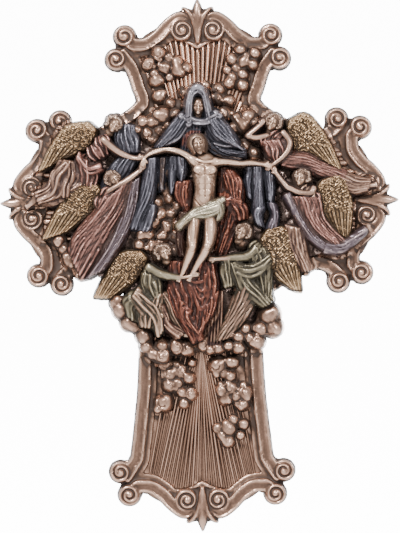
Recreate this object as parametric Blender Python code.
"""Cross wall plaque: a cast relief of figures, drapery and clouds on a moulded cross.

One cast piece. The back is flat at y = 0 and meets the wall, and the front faces -Y.
The origin is on the back face, where the arms cross.
"""
import math

import bmesh
import bpy
import numpy as np
from mathutils import Vector

# Overall sizes, in metres
CROSS_HEIGHT = 0.407
CROSS_WIDTH = 0.304
TOP_REACH = 0.155
RELIEF_DEPTH = 0.045

# Plate and frame
PLATE_DEPTH = 0.0085
FRAME_DEPTH = 0.0115
THROAT_HALF = 0.047
CORNER_REACH = 0.0766
BAND_WIDTH = 0.0102
BEAD_RADIUS = 0.0012
BEAD_RISE = 0.0022
RIM_RADIUS = 0.0010
RIM_RISE = 0.0007
VOLUTE_RADIUS = 0.0080
VOLUTE_RISE = 0.0030
EYE_RADIUS = 0.0022
PETAL_RISE = 0.0032

# Rays on the field
RAY_PITCH = 0.0052
RAY_RADIUS = 0.0018
RAY_RISE = 0.0016

# Hanging recess in the back: a round entry and a slot above it
KEY_ENTRY_RADIUS = 0.0050
KEY_SLOT_WIDTH = 0.0056
KEY_SLOT_LENGTH = 0.0120
KEY_DEPTH = 0.0062
KEY_HEIGHT = 0.0600

# Relief: how far a cast form reaches back into the plate, and its grain
ROOT_DEPTH = 0.0030
GRAIN = 0.0009
FACE_COUNT = 9300

# The layout is drawn on a sheet 395 units wide, 202.5 up and 329.5 down from the crossing
SHEET_HALF = 197.5
SHEET_UP = 202.5
SHEET_DOWN = 329.5
CROSSING_AT = 63.5
LEAN = 0.0105
UNIT_X = CROSS_WIDTH / (2 * SHEET_HALF)
UNIT_UP = TOP_REACH / SHEET_UP
UNIT_DOWN = (CROSS_HEIGHT - TOP_REACH) / SHEET_DOWN
SHEET_FIELD = 11.0
SHEET_FRONT = 56.0


def at(x, z):
    """A place on the sheet, measured from the crossing, in metres."""
    return x * UNIT_X, z * (UNIT_UP if z > 0 else UNIT_DOWN)


def leaning(x, z):
    """A place in the figure group, which leans a little, in metres."""
    return at(x + LEAN * z, z - LEAN * x - CROSSING_AT)


def rise(h):
    """Depth of a form whose sheet depth is h, from the field up to the front."""
    share = (h - SHEET_FIELD) / (SHEET_FRONT - SHEET_FIELD)
    return PLATE_DEPTH + share * (RELIEF_DEPTH - PLATE_DEPTH)


def smooth(points, step):
    """Points along a smooth curve through the given rows, about one step apart."""
    rows = [np.array(p, dtype=float) for p in points]
    if len(rows) == 2:
        rows.insert(1, (rows[0] + rows[1]) / 2)
    rows = [2 * rows[0] - rows[1]] + rows + [2 * rows[-1] - rows[-2]]
    out = []
    for i in range(1, len(rows) - 2):
        a, b, c, d = rows[i - 1:i + 3]
        count = max(1, int(round(np.linalg.norm((c - b)[:2]) / step)))
        for k in range(count):
            t = k / count
            out.append(0.5 * (2 * b + (c - a) * t + (2 * a - 5 * b + 4 * c - d) * t * t
                              + (3 * b - a - 3 * c + d) * t ** 3))
    out.append(rows[-2])
    return out


def offset(points, distance):
    """A path moved to its right-hand side by a distance."""
    out = []
    for i, p in enumerate(points):
        a = Vector(points[max(i - 1, 0)])
        b = Vector(points[min(i + 1, len(points) - 1)])
        t = (b - a).normalized()
        out.append((p[0] + t.y * distance, p[1] - t.x * distance))
    return out


class Relief:
    """A mesh of closed forms, each standing on the plate."""

    def __init__(self):
        self.bm = bmesh.new()

    def prism(self, outline, back, front):
        """A flat slab with the given outline, from one depth to another."""
        rear = [self.bm.verts.new((x, -back, z)) for x, z in outline]
        face = [self.bm.verts.new((x, -front, z)) for x, z in outline]
        n = len(outline)
        for i in range(n):
            j = (i + 1) % n
            self.bm.faces.new((rear[i], rear[j], face[j], face[i]))
        self.bm.faces.new(rear[::-1])
        self.bm.faces.new(face)

    def ridge(self, path, widths, depths, crown=None, sides=6):
        """A rounded ridge along a path, with straight walls down to its root."""
        rings = []
        n = len(path)
        for i in range(n):
            x, z = path[i]
            a = path[max(i - 1, 0)]
            b = path[min(i + 1, n - 1)]
            dx, dz = b[0] - a[0], b[1] - a[1]
            length = math.hypot(dx, dz) or 1.0
            nx, nz = dz / length, -dx / length
            r = widths[i]
            top = depths[i]
            drop = min(r, top - ROOT_DEPTH) if crown is None else crown
            ring = [(x + nx * r, -ROOT_DEPTH, z + nz * r)]
            for k in range(sides + 1):
                turn = math.pi * k / sides
                out = r * math.cos(turn)
                y = -(top - drop * (1 - math.sin(turn)))
                ring.append((x + nx * out, y, z + nz * out))
            ring.append((x - nx * r, -ROOT_DEPTH, z - nz * r))
            rings.append([self.bm.verts.new(p) for p in ring])
        m = len(rings[0])
        for first, second in zip(rings, rings[1:]):
            for k in range(m):
                j = (k + 1) % m
                self.bm.faces.new((first[k], first[j], second[j], second[k]))
        self.bm.faces.new(rings[0][::-1])
        self.bm.faces.new(rings[-1])

    def knob(self, x, z, r, top, flat=1.0, sides=12, rows=4):
        """A dome with straight walls down to its root."""
        rings = []
        drop = min(r * flat, top - ROOT_DEPTH)
        levels = [(1.0, None)]
        for k in range(rows):
            turn = 0.5 * math.pi * k / rows
            levels.append((math.cos(turn), math.sin(turn)))
        for share, lift in levels:
            y = -ROOT_DEPTH if lift is None else -(top - drop * (1 - lift))
            ring = []
            for k in range(sides):
                turn = 2 * math.pi * k / sides
                ring.append(self.bm.verts.new((x + r * share * math.cos(turn), y,
                                               z + r * share * math.sin(turn))))
            rings.append(ring)
        for first, second in zip(rings, rings[1:]):
            for k in range(sides):
                j = (k + 1) % sides
                self.bm.faces.new((first[k], first[j], second[j], second[k]))
        tip = self.bm.verts.new((x, -top, z))
        for k in range(sides):
            self.bm.faces.new((rings[-1][k], rings[-1][(k + 1) % sides], tip))
        self.bm.faces.new(rings[0][::-1])

    # Forms of the figure group, given on the sheet: x, z, half width, depth

    def stroke(self, rows):
        """A limb or fold through rows of x, z, half width and depth."""
        points = smooth(rows, 5.0)
        first, last = points[0], points[-1]
        head = first.copy()
        tail = last.copy()
        head[:2] += (first - points[1])[:2] / 5.0 * first[2] * 0.6
        tail[:2] += (last - points[-2])[:2] / 5.0 * last[2] * 0.6
        for end in (head, tail):
            end[3] -= end[2] * 0.5
            end[2] *= 0.45
        points = [head] + points + [tail]
        self.ridge([leaning(p[0], p[1]) for p in points],
                   [max(p[2], 0.3) * UNIT_X for p in points],
                   [rise(p[3]) for p in points])

    def fan(self, first, second, count, width, start, end, step=7.0):
        """Folds or feathers laid side by side between two guide curves."""
        a = smooth(first, 4.0)
        b = smooth(second, 4.0)
        for k in range(count):
            share = k / max(count - 1, 1)
            rows = []
            pieces = 5
            for i in range(pieces + 1):
                t = i / pieces
                p = a[int(round(t * (len(a) - 1)))]
                q = b[int(round(t * (len(b) - 1)))]
                x, z = p[:2] * (1 - share) + q[:2] * share
                swell = width * (0.8 + 0.35 * math.sin(math.pi * t))
                rows.append((x, z, swell, start + (end - start) * t - 1.5 * (k % 2)))
            self.stroke(rows)

    def ball(self, x, z, r, h, flat=1.0):
        """A cloud knob, head or knee."""
        px, pz = leaning(x, z)
        self.knob(px, pz, r * UNIT_X, rise(h), flat)


def cap_edge(reach):
    """Half the outer edge of an arm's scrolled end, from the side volute to the tip."""
    rows = [(81, -51), (74, -50), (70, -44), (73, -37), (66, -31), (61.6, -39), (52.6, -39),
            (47.6, -36), (42.6, -32), (37.5, -26), (32.4, -21), (27.4, -17), (22.4, -14),
            (17.4, -12.6), (12.4, -13.5), (8, -17.5), (5, -14), (3.4, -9), (0.6, -1)]
    return [(u, reach + v) for u, v in rows] + [(0, reach)]


def side_edge(throat, corner, lengthy):
    """The outer edge of an arm from the inner corner out to the side volute."""
    if lengthy:
        rows = [(0.5, 0), (-1.0, 34), (0, 44), (2, 89), (4.5, 114), (9.2, 154)]
    else:
        rows = [(0, 0), (0.4, 3.2), (3.2, 9.7), (5.2, 15.7), (7.2, 22.7), (9, 27.8), (11, 32)]
    return [(throat + u, corner + v) for u, v in rows]


def shoulder(throat, corner):
    """The slanted edge from the inner corner to a side arm's volute, as x and z."""
    rows = [(0, 0), (9, -8), (25, -18), (34, -23.5), (44, -28.5), (53, -31.5), (59, -31),
            (66, -27), (72, -21)]
    return [(throat + u, corner + v) for u, v in rows]


def outline():
    """The cross's outer edge as one loop of places, all arms in turn."""
    throat = THROAT_HALF / UNIT_X
    corner = CORNER_REACH / UNIT_UP
    top = side_edge(throat, corner, False) + cap_edge(SHEET_UP)
    side = shoulder(throat, corner) + [(d, u) for u, d in cap_edge(SHEET_HALF)]
    low = side_edge(throat, corner, True) + cap_edge(SHEET_DOWN)
    right = top[::-1] + side[1:]
    right += [(x, -z) for x, z in side[-2::-1]] + [(x, -z) for x, z in low[1:]]
    left = [(-x, z) for x, z in right[-2:0:-1]]
    return [at(x, z) for x, z in right + left]


def mirrored(path):
    """The path and its twin on the other side of the cross."""
    return [path, [(-x, z) for x, z in path]]


def frame(relief):
    """The moulded band, its bead, and the scrolled ends of the arms."""
    throat = THROAT_HALF / UNIT_X
    corner = CORNER_REACH / UNIT_UP
    top = side_edge(throat, corner, False)
    side = shoulder(throat, corner)
    low = side_edge(throat, corner, True)
    upper = [at(x, z) for x, z in top[::-1] + side[1:]]
    lower = [at(x, -z) for x, z in side[::-1] + low[1:]]
    for edge in mirrored(upper) + mirrored(lower):
        inward = BAND_WIDTH if edge[0][0] > 0 else -BAND_WIDTH
        middle = offset(edge, inward / 2)
        n = len(edge)
        relief.ridge(middle, [BAND_WIDTH / 2] * n, [FRAME_DEPTH] * n, crown=RIM_RISE)
        bead = offset(edge, inward)
        relief.ridge(bead, [BEAD_RADIUS] * n, [FRAME_DEPTH + BEAD_RISE] * n)
        rim = offset(edge, math.copysign(RIM_RADIUS, inward))
        relief.ridge(rim, [RIM_RADIUS] * n, [FRAME_DEPTH + RIM_RISE] * n)
    ends = (("up", SHEET_UP), ("right", SHEET_HALF), ("left", SHEET_HALF), ("down", SHEET_DOWN))
    for way, reach in ends:
        for hand in (1, -1):
            scrolled_end(relief, way, reach, hand)
        fleur(relief, way, reach)


def turned(way, u, d):
    """Across and outward on an arm, as a place in metres."""
    if way == "up":
        return at(u, d)
    if way == "down":
        return at(u, -d)
    return at(d if way == "right" else -d, u)


def scrolled_end(relief, way, reach, hand):
    """One side of an arm's end: two outer volutes, the long scroll and the inner volute."""
    scroll = [(72, -46), (63, -44), (54, -42), (45, -36.5), (36, -28), (27, -21.5), (20, -19)]
    fillet = [(72, -49), (62, -50), (53, -46), (43, -40), (33, -32), (25, -26)]
    edge = [(62, -40), (53, -38.5), (43, -31.5), (33, -21.5), (23, -14.5), (15, -13.5)]
    half = BAND_WIDTH / 2
    for rows, width, lift in ((scroll, half, 0.0), (fillet, BEAD_RADIUS, BEAD_RISE),
                              (edge, RIM_RADIUS, RIM_RISE)):
        path = [turned(way, hand * u, reach + v) for u, v in smooth(rows, 4.0)]
        crown = RIM_RISE if width == half else None
        relief.ridge(path, [width] * len(path), [FRAME_DEPTH + lift] * len(path), crown=crown)
    inner = VOLUTE_RADIUS * 1.35
    volute(relief, turned(way, hand * 72.5, reach - 37), VOLUTE_RADIUS)
    volute(relief, turned(way, hand * 81, reach - 60), VOLUTE_RADIUS)
    volute(relief, turned(way, hand * 16.5, reach - 29), inner)


def volute(relief, centre, radius):
    """A rolled scroll end: a disc with a raised coil and a round eye."""
    x, z = centre
    relief.knob(x, z, radius, FRAME_DEPTH, flat=0.15, sides=20, rows=2)
    coil = radius - BEAD_RADIUS
    steps = 16
    path = [(x + coil * math.cos(2 * math.pi * k / steps), z + coil * math.sin(2 * math.pi * k / steps))
            for k in range(steps + 1)]
    relief.ridge(path, [BEAD_RADIUS] * len(path), [FRAME_DEPTH + VOLUTE_RISE] * len(path))
    relief.knob(x, z, EYE_RADIUS, FRAME_DEPTH + VOLUTE_RISE, sides=10)


def fleur(relief, way, reach):
    """Three petals at the tip of an arm and a small pendant below them."""
    petals = [[(0, -40, 3.5), (0, -26, 2.6), (0, -14, 4.4), (0, -7, 2.6), (0, -2, 0.9)]]
    for hand in (1, -1):
        petals.append([(3 * hand, -32, 2.0), (4.5 * hand, -22, 2.4), (8 * hand, -14, 2.4),
                       (14 * hand, -9.5, 1.2)])
    petals.append([(-6, -46, 2.0), (0, -48.5, 3.0), (6, -46, 2.0)])
    for rows in petals:
        points = smooth(rows, 3.0)
        path = [turned(way, p[0], reach + p[1]) for p in points]
        relief.ridge(path, [p[2] * UNIT_X for p in points], [FRAME_DEPTH + PETAL_RISE] * len(path))


def rays(relief):
    """Fluted rays that spread from behind the group into each arm."""
    reach_up = (SHEET_UP - 48) * UNIT_UP
    reach_down = (SHEET_DOWN - 50) * UNIT_DOWN
    reach_side = (SHEET_HALF - 46) * UNIT_X
    half = THROAT_HALF - BAND_WIDTH - 2 * RAY_RADIUS
    depth = PLATE_DEPTH + RAY_RISE
    for far, near, spread in ((reach_up, 0.045, 1.28), (-reach_down, -0.070, 1.16)):
        count = 2 * int(half / RAY_PITCH) + 1
        for k in range(count):
            across = (k - count // 2) * RAY_PITCH
            ease = 1 - 0.10 * abs(across / half) ** 2
            path = [(across * 0.8, near), (across * spread, far * ease)]
            relief.ridge(path, [RAY_RADIUS * 0.8, RAY_RADIUS], [depth] * 2, sides=4)
    for hand in (1, -1):
        count = 2 * int(half * 1.1 / RAY_PITCH) + 1
        for k in range(count):
            across = (k - count // 2) * RAY_PITCH
            path = [(hand * 0.060, across * 0.85), (hand * reach_side, across * 1.3)]
            relief.ridge(path, [RAY_RADIUS * 0.8, RAY_RADIUS], [depth] * 2, sides=4)


def clouds(relief):
    """Round cloud knobs in banks behind and below the figures: x, z and radius."""
    banks = {
        "upper left": (24, [(-41, 211, 7), (-51, 200, 6), (-35, 197, 6), (-23, 202, 6), (-22, 194, 7),
                            (-14, 196, 5), (-43, 184, 7), (-40, 168, 7), (-29, 160, 6), (-20, 158, 5),
                            (-16, 172, 5)]),
        "left shoulder": (29, [(-36, 148, 9), (-47, 142, 7), (-56, 142, 5), (-52, 130, 6),
                               (-40, 133, 5), (-24, 150, 6)]),
        "upper right": (24, [(40, 215, 5), (54, 211, 5), (32, 205, 5), (44, 203, 6), (52, 200, 5),
                             (42, 190, 5), (32, 187, 5), (29, 181, 5), (42, 179, 5), (19, 175, 6),
                             (17, 166, 6), (28, 163, 6)]),
        "right shoulder": (29, [(47, 146, 8), (42, 139, 8), (33, 137, 5), (25, 148, 6),
                                (53, 111, 6)]),
        "middle": (30, [(-38, 51, 6), (-28, 51, 5), (-46, 42, 6), (-31, 38, 6), (-56, 31, 6),
                        (-36, 30, 6), (-46, 18, 6), (-30, 66, 6), (-38, 80, 6), (-34, 92, 5),
                         (44, 36, 6), (40, 20, 6), (-24, 28, 6), (-26, 14, 6)]),
        "side": (27, [(-128, 5, 8), (-140, 25, 6), (-120, -4, 6)]),
        "lower": (31, [(-55, -70, 7), (-37, -78, 6), (-37, -90, 7), (-53, -80, 5), (-12, -82, 7),
                       (-22, -80, 7), (2, -77, 6), (18, -81, 5), (38, -71, 5), (38, -81, 5),
                       (45, -63, 5), (55, -75, 6), (68, -50, 9), (72, -60, 8), (60, -62, 7),
                       (-78, -45, 7), (-70, -57, 7)]),
        "stem left": (23, [(-35, -99, 6), (-8, -97, 4), (-30, -108, 7), (-18, -108, 7),
                           (-12, -113, 6), (-30, -120, 7), (-18, -127, 5), (-9, -128, 6),
                           (-36, -137, 9), (-16, -138, 5)]),
        "stem right": (23, [(17, -100, 9), (32, -96, 6), (30, -111, 5), (22, -124, 6),
                            (29, -123, 7), (44, -127, 8), (25, -134, 6), (42, -139, 6),
                            (18, -163, 4), (28, -163, 8), (43, -159, 4), (28, -175, 6),
                            (40, -170, 3)]),
    }
    for depth, bank in banks.values():
        for x, z, r in bank:
            relief.ball(x, z, r, depth + 0.5 * (r - 6))


def mother(relief):
    """The hooded figure behind: hood, mantle spread to both sides, and dress."""
    relief.stroke([(0, 139, 12, 38), (-2, 150, 12, 42), (-2, 165, 9, 43), (-2, 172, 6, 43)])
    relief.stroke([(-12, 138, 4, 44), (-13, 150, 4, 46), (-12, 165, 4, 47), (-3, 175, 4, 47),
                   (7, 168, 4, 47), (11, 152, 4, 45), (14, 147, 4, 42)])
    relief.ball(-1.5, 159, 6, 46)
    relief.stroke([(-10, 140, 4, 42), (5, 141, 4, 43), (17, 148, 4, 41)])
    relief.fan([(-14, 146), (-27, 133), (-42, 118)], [(-12, 136), (-23, 124), (-34, 112)],
               4, 3.6, 40, 33)
    relief.fan([(16, 145), (29, 131), (43, 112)], [(6, 136), (18, 119), (36, 108)], 5, 3.6, 41, 33)
    relief.stroke([(-8, 138, 9, 39), (-11, 125, 8, 39), (-13, 110, 7, 38)])


def central(relief):
    """The figure held up at the centre, with spread arms, loincloth and legs."""
    relief.ball(-2.5, 119, 8.5, 51)
    relief.stroke([(-4, 126, 6.5, 49), (-2, 117, 6, 51), (1, 108, 3, 50)])
    relief.stroke([(3, 126, 4, 46), (8, 116, 4, 46), (9, 105, 3.5, 45)])
    relief.stroke([(-8, 125, 3, 46), (-10, 115, 3, 45), (-8, 105, 3, 44)])
    relief.stroke([(4, 101, 11, 50), (4, 93, 11, 53), (5, 84, 10, 52), (5, 73, 9, 50), (3, 60, 11, 49)])
    relief.stroke([(-4, 99, 6, 50), (-12, 106, 5, 48), (-22, 112, 4.6, 46), (-33, 114, 4.4, 44),
                   (-44, 111, 3.8, 42), (-53, 107, 3.2, 41), (-55, 101, 3, 40), (-57, 95, 2.2, 39)])
    relief.stroke([(10, 99, 6, 50), (20, 101, 4.8, 48), (35, 101, 4.4, 45), (50, 100, 3.8, 42),
                   (63, 98, 3.2, 40), (71, 96, 2.6, 38)])
    relief.fan([(19, 63), (2, 60), (-10, 51), (-21, 42)], [(17, 53), (6, 47), (-6, 44), (-17, 36)],
               4, 3.4, 50, 42)
    relief.stroke([(-4, 48, 8, 49), (-8, 32, 7.5, 50), (-7, 17, 6.5, 50), (-11, 4, 5.2, 45),
                   (-16, -8, 4, 40)])
    relief.stroke([(8, 46, 8, 49), (9, 32, 7.5, 51), (6, 17, 6.5, 51), (0, 4, 5, 46), (-6, -8, 4, 41),
                   (-9, -14, 3, 40)])
    relief.ball(4, 9, 4, 43)


def cloths(relief):
    """The red cloak behind the central figure and the blue cloths beside it."""
    relief.fan([(21, 95), (21, 75), (18, 50), (16, 10)], [(33, 94), (44, 75), (44, 50), (27, 10)],
               5, 3.6, 38, 31)
    relief.stroke([(22, 64, 4, 39), (36, 67, 4, 39), (44, 56, 4, 36), (44, 46, 4, 34)])
    relief.fan([(-10, 82), (-8, 70), (-9, 56)], [(-22, 82), (-22, 68), (-14, 55)], 3, 3.6, 37, 34)
    for k in range(4):
        low = -20 - 11 * k
        side = 26 - 1.5 * k
        relief.stroke([(-side, low + 20, 4.5, 33), (-12, low + 3, 4.5, 36), (2, low, 4.5, 37),
                       (13, low + 6, 4.5, 35), (24, low + 20, 4, 32)])
    relief.fan([(-28, -10), (-30, -40), (-16, -66)], [(12, -10), (14, -38), (2, -70)], 5, 4.2, 34, 32)
    relief.stroke([(-38, -44, 5, 33), (-34, -60, 5, 33), (-20, -73, 5, 33), (-4, -74, 5, 33)])
    relief.fan([(-82, 138), (-83, 122), (-80, 106)], [(-64, 137), (-62, 124), (-64, 112)],
               4, 3.2, 29, 29)
    relief.fan([(-80, 104), (-90, 90), (-97, 76)], [(-64, 101), (-72, 88), (-79, 76)],
               4, 3.4, 31, 28)
    relief.fan([(-54, 104), (-57, 80), (-62, 60), (-72, 42)], [(-42, 105), (-43, 80), (-47, 62), (-52, 42)],
               5, 3.2, 38, 30)
    relief.fan([(-29, 105), (-30, 90), (-28, 74)], [(-15, 104), (-14, 92), (-19, 84)], 4, 3.2, 38, 34)
    relief.fan([(44, 96), (46, 76), (47, 55)], [(72, 93), (70, 75), (66, 58), (62, 42)], 5, 3.2, 34, 30)


ANGELS = {
    "upper left": {
        "head": (-85, 139, 8, 37),
        "trunk": [(-94, 128, 8, 35), (-104, 113, 10, 35), (-114, 100, 9, 33)],
        "arm": [(-90, 121, 4.6, 37), (-77, 110, 4.2, 38), (-65, 106, 3.6, 39), (-56, 105, 3, 40)],
        "wing": ([(-112, 141), (-134, 133), (-155, 99)], [(-103, 132), (-110, 121), (-127, 108)], 28, 22),
        "gown": ([(-112, 104), (-130, 98), (-150, 76), (-160, 66)],
                 [(-102, 92), (-114, 76), (-126, 72), (-148, 60)], 5, 31, 24),
        "foot": [(-155, 67, 4.5, 25), (-166, 61, 4, 24), (-173, 56, 3.6, 24)],
    },
    "middle left": {
        "head": (-85, 85, 8, 38),
        "trunk": [(-86, 74, 8, 37), (-92, 62, 10, 37), (-98, 50, 11, 36)],
        "arm": [(-88, 76, 4.4, 39), (-76, 81, 4.2, 39), (-66, 88, 3.8, 39), (-57, 95, 3, 39)],
        "wing": ([(-102, 80), (-124, 74), (-152, 31)], [(-98, 70), (-107, 54), (-124, 37)], 29, 22),
        "gown": ([(-98, 56), (-113, 42), (-123, 20), (-120, -10)],
                 [(-64, 84), (-72, 50), (-88, 14), (-110, -10)], 7, 36, 27),
        "foot": [(-118, -8, 4, 27), (-114, -13, 4, 26)],
    },
    "lower left": {
        "head": (-36, 12, 8, 41),
        "trunk": [(-43, 0, 8, 38), (-48, -14, 11, 38), (-54, -28, 12, 37)],
        "arm": [(-50, -4, 4.6, 40), (-34, -10, 4.2, 41), (-18, -12, 3.6, 41), (-4, -9, 3, 41)],
        "wing": ([(-60, 13), (-80, 10), (-100, -27)], [(-52, 3), (-60, -10), (-82, -30)], 30, 22),
        "gown": ([(-62, -18), (-72, -36), (-66, -56)], [(-38, -24), (-36, -42), (-44, -62)], 5, 37, 30),
        "foot": [(-52, -44, 7, 39), (-44, -52, 6, 38), (-30, -60, 4.5, 34)],
    },
    "upper right": {
        "head": (72, 140, 8, 37),
        "trunk": [(76, 130, 8, 35), (73, 119, 10, 35), (78, 108, 9, 34)],
        "arm": [(84, 129, 4.2, 37), (87, 117, 4, 38), (80, 107, 3.6, 38), (69, 99, 3, 39)],
        "wing": ([(88, 141), (104, 143), (137, 98)], [(88, 132), (95, 115), (122, 104)], 28, 22),
        "gown": ([(82, 113), (108, 109), (128, 98), (160, 84)], [(80, 98), (102, 92), (122, 84), (158, 72)],
                 5, 32, 24),
        "foot": [(158, 78, 4.5, 25), (168, 80, 4, 25), (176, 82, 4, 24)],
    },
    "middle right": {
        "head": (100, 86, 8, 38),
        "trunk": [(104, 74, 8, 36), (106, 62, 10, 36), (110, 50, 10, 35)],
        "arm": [(112, 73, 4.2, 38), (98, 73, 4.2, 39), (84, 78, 3.8, 39), (74, 92, 3, 39)],
        "wing": ([(122, 82), (142, 80), (147, 31)], [(119, 74), (119, 58), (130, 38)], 28, 22),
        "gown": ([(86, 68), (96, 50), (110, 30), (124, 16)], [(119, 60), (126, 46), (136, 32), (148, 22)],
                 6, 35, 27),
        "foot": [(92, 36, 6, 30), (96, 16, 6, 29), (106, -2, 5, 27)],
    },
    "lower right": {
        "head": (42, 32, 8, 40),
        "trunk": [(52, 18, 8, 37), (52, 4, 11, 37), (48, -12, 12, 36)],
        "arm": [(54, 10, 4.6, 39), (38, 7, 4.4, 40), (24, 6, 3.8, 41), (11, 5, 3, 42)],
        "wing": ([(68, 33), (84, 29), (98, -18)], [(61, 22), (62, -2), (82, -20)], 29, 22),
        "gown": ([(36, -4), (34, -28), (24, -54), (15, -72)], [(64, 2), (64, -20), (60, -36), (60, -48)],
                 7, 35, 29),
        "foot": [(60, -38, 5, 30), (52, -50, 5, 29)],
    },
}


def angel(relief, parts):
    """A winged attendant: wing, gown, trunk, head, arm and foot."""
    first, second, near, far = parts["wing"]
    relief.fan(first, second, 6, 3.6, near, far)
    first, second, count, near, far = parts["gown"]
    relief.fan(first, second, count, 4.2, near, far)
    relief.stroke(parts["trunk"])
    relief.stroke(parts["foot"])
    relief.stroke(parts["arm"])
    x, z, r, h = parts["head"]
    relief.ball(x, z, r, h)


def backing(relief):
    """Low ground that fills between the figures, so that the casting is solid behind them."""
    rows = [(-150, 92), (-112, 128), (-60, 140), (-30, 150), (30, 150), (70, 138), (112, 130),
            (140, 100), (150, 70), (136, 20), (100, 0), (66, -30), (52, -62), (10, -78), (-30, -76),
            (-62, -58), (-84, -20), (-118, -6), (-136, 36), (-150, 66)]
    relief.prism([leaning(x, z) for x, z in smooth(rows + rows[:1], 12.0)[:-1]], ROOT_DEPTH, rise(19))
    rows = [(-14, 150), (14, 150), (38, 114), (44, 62), (32, 0), (22, -60), (-24, -64), (-42, -20),
            (-50, 30), (-46, 84), (-32, 118)]
    relief.prism([leaning(x, z) for x, z in smooth(rows + rows[:1], 12.0)[:-1]], ROOT_DEPTH, rise(25))


def cutter(name, mesh_builder):
    """An object that only cuts others."""
    bm = bmesh.new()
    mesh_builder(bm)
    bmesh.ops.recalc_face_normals(bm, faces=bm.faces)
    mesh = bpy.data.meshes.new(name)
    bm.to_mesh(mesh)
    bm.free()
    made = bpy.data.objects.new(name, mesh)
    made.hide_render = True
    made.display_type = 'WIRE'
    bpy.context.scene.collection.objects.link(made)
    return made


def wall_block(bm):
    """Everything behind the wall plane."""
    bmesh.ops.create_cube(bm, size=1.0)
    wide = 2 * (CROSS_WIDTH + CROSS_HEIGHT)
    bmesh.ops.scale(bm, vec=(wide, RELIEF_DEPTH, wide), verts=bm.verts)
    bmesh.ops.translate(bm, vec=(0, RELIEF_DEPTH / 2, 0), verts=bm.verts)


def key_block(bm):
    """The hanging recess: round entry below and a round-ended slot above, cut from the back."""
    loop = []
    half = KEY_SLOT_WIDTH / 2
    start = math.asin(half / KEY_ENTRY_RADIUS)
    steps = 20
    for k in range(steps + 1):
        turn = math.pi / 2 + start + (2 * math.pi - 2 * start) * k / steps
        loop.append((KEY_ENTRY_RADIUS * math.cos(turn), KEY_ENTRY_RADIUS * math.sin(turn)))
    for k in range(9):
        turn = math.pi * k / 8
        loop.append((half * math.cos(turn), KEY_SLOT_LENGTH + half * math.sin(turn)))
    verts = [bm.verts.new((x, RELIEF_DEPTH, KEY_HEIGHT + z)) for x, z in loop]
    face = bm.faces.new(verts)
    moved = bmesh.ops.extrude_face_region(bm, geom=[face])
    shift = Vector((0, -RELIEF_DEPTH - KEY_DEPTH, 0))
    bmesh.ops.translate(bm, vec=shift, verts=[v for v in moved["geom"] if isinstance(v, bmesh.types.BMVert)])


def bronze():
    """The cast resin's bronze finish."""
    material = bpy.data.materials.new("antique_bronze")
    material.use_nodes = True
    shader = material.node_tree.nodes["Principled BSDF"]
    shader.inputs["Base Color"].default_value = (0.26, 0.155, 0.105, 1.0)
    shader.inputs["Metallic"].default_value = 0.75
    shader.inputs["Roughness"].default_value = 0.42
    return material


def cross():
    """The whole plaque as one casting."""
    relief = Relief()
    relief.prism(outline(), -GRAIN * 2, PLATE_DEPTH)
    frame(relief)
    rays(relief)
    backing(relief)
    clouds(relief)
    mother(relief)
    cloths(relief)
    central(relief)
    for parts in ANGELS.values():
        angel(relief, parts)
    bmesh.ops.recalc_face_normals(relief.bm, faces=relief.bm.faces)
    mesh = bpy.data.meshes.new("cross_plaque")
    relief.bm.to_mesh(mesh)
    relief.bm.free()
    plaque = bpy.data.objects.new("cross_plaque", mesh)
    bpy.context.scene.collection.objects.link(plaque)
    plaque.data.materials.append(bronze())
    grain = plaque.modifiers.new("cast", 'REMESH')
    grain.mode = 'VOXEL'
    grain.voxel_size = GRAIN
    grain.use_smooth_shade = True
    bpy.context.view_layer.update()
    cast = plaque.evaluated_get(bpy.context.evaluated_depsgraph_get())
    triangles = sum(len(p.vertices) - 2 for p in cast.data.polygons)
    thin = plaque.modifiers.new("thin", 'DECIMATE')
    thin.ratio = min(1.0, FACE_COUNT / triangles)
    for name, builder in (("wall_cut", wall_block), ("key_cut", key_block)):
        cut = plaque.modifiers.new(name, 'BOOLEAN')
        cut.operation = 'DIFFERENCE'
        cut.solver = 'EXACT'
        cut.object = cutter(name, builder)
    return plaque


for old in list(bpy.data.objects):
    bpy.data.objects.remove(old, do_unlink=True)
cross()
